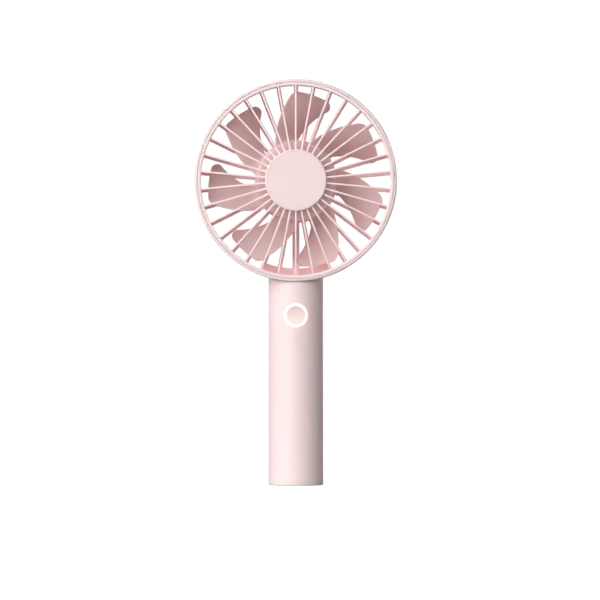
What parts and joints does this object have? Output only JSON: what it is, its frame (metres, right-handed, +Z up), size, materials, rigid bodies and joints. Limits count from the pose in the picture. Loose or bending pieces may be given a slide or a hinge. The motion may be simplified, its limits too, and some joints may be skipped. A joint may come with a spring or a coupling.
{
  "type": "handheld electric fan",
  "caption": "Handheld electric fan: a round head with radial-spoke grilles and an axial impeller on a straight round handle with a lit push button, battery and charging socket.",
  "frame": {"origin": "centre of the handle's bottom face, on the handle's axis", "axes": "+Z up the handle towards the head; -Y is the front, where the air comes out and the button is; +X is to the right seen from the front"},
  "size_m": [0.102, 0.0379, 0.205],
  "materials": {
    "shell": "fine satin moulded ABS, pale pink",
    "badge": "smooth satin moulded ABS, pale pink",
    "blades": "fine satin moulded plastic, dusky pink",
    "button": "satin moulded ABS, pale pink",
    "lit_ring": "milky light pipe, lit white",
    "frame_plastic": "natural moulded plastic",
    "circuit_board": "green solder mask on glass fibre",
    "chip_plastic": "black moulded epoxy",
    "led_plastic": "milky epoxy",
    "screw_steel": "zinc-plated steel",
    "core_steel": "stacked steel sheets",
    "nickel": "nickel strip",
    "magnet": "bonded ferrite",
    "copper": "enamelled copper wire",
    "bronze": "sintered bronze",
    "insulator": "white nylon",
    "cell": "printed plastic wrap over a steel can",
    "paper": "white fish paper",
    "foam": "closed-cell foam",
    "wire": "silicone wire insulation"
  },
  "bodies": {
    "handle": {"handle_tube": "shell", "bottom_cap": "shell", "bottom_screws": "screw_steel", "chassis": "frame_plastic", "battery_cell": "cell", "battery_washer": "paper", "battery_tabs": "nickel", "battery_pad": "foam", "battery_leads": "wire", "charge_board": "circuit_board", "charge_chip": "chip_plastic", "charge_leads": "wire", "usb_shell": "screw_steel", "usb_tongue": "chip_plastic", "control_board": "circuit_board", "control_chip": "chip_plastic", "power_parts": "chip_plastic", "board_screws": "screw_steel", "tact_switch": "chip_plastic", "indicator_leds": "led_plastic", "light_ring": "lit_ring", "frame_screws": "screw_steel", "rear_housing": "shell", "rear_cap": "shell", "wire_cover": "shell", "motor_base": "frame_plastic", "motor_screws": "screw_steel", "sleeve_bearing": "bronze", "thrust_washer": "insulator", "stator_core": "core_steel", "stator_insulator": "insulator", "stator_coils": "copper", "motor_board": "circuit_board", "hall_sensor": "chip_plastic", "motor_driver": "chip_plastic", "motor_leads": "wire"},
    "front_cover": {"front_grille": "shell", "centre_badge": "badge"},
    "rotor": {"impeller": "blades", "rotor_yoke": "screw_steel", "rotor_magnet": "magnet", "motor_shaft": "screw_steel", "shaft_clip": "screw_steel"},
    "button": {"button_cap": "button"},
    "switch_plunger": {"switch_plunger": "insulator"}
  },
  "joints": [
    {"name": "impeller_spin", "type": "hinge", "parent": "handle", "child": "rotor", "pos_m": [0, 0, 0.154], "axis": [0, 1, 0], "continuous": true},
    {"name": "cover_twist", "type": "hinge", "parent": "handle", "child": "front_cover", "pos_m": [0, 0, 0.154], "axis": [0, -1, 0], "range_deg": [0, 12]},
    {"name": "button_press", "type": "slide", "parent": "handle", "child": "button", "axis": [0, 1, 0], "range_m": [0, 0.0004], "stiffness_N_per_m": 600},
    {"name": "plunger_press", "type": "slide", "parent": "handle", "child": "switch_plunger", "axis": [0, 1, 0], "range_m": [0, 0.0004]}
  ],
  "couplings": [
    {"joint": "plunger_press", "follows": "button_press", "ratio": 1}
  ]
}
